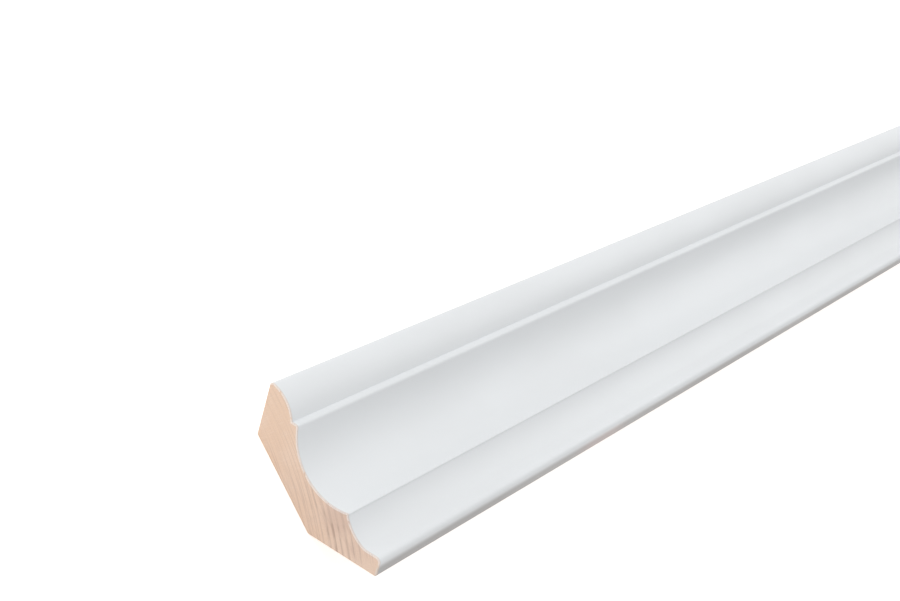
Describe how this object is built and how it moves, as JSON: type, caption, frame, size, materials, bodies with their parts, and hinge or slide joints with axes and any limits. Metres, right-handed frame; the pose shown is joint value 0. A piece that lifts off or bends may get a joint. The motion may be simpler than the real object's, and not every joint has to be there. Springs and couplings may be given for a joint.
{
  "type": "cove moulding",
  "caption": "Sprung cove moulding with a bead and ledge above a hollow cove, cut square at both ends, for the corner between a wall and a ceiling.",
  "frame": {"origin": "middle of the bounding box, on the surface that the moulding's back lies on", "axes": "+X along the length, +Z straight out of the back, +Y from the foot to the bead"},
  "size_m": [0.6, 0.0578, 0.0182],
  "materials": {
    "painted_pine": "white satin paint on the show face, bare planed pine on the seats and back, bare sawn end grain"
  },
  "bodies": {
    "root": {"cove_moulding": "painted_pine"}
  },
  "joints": []
}
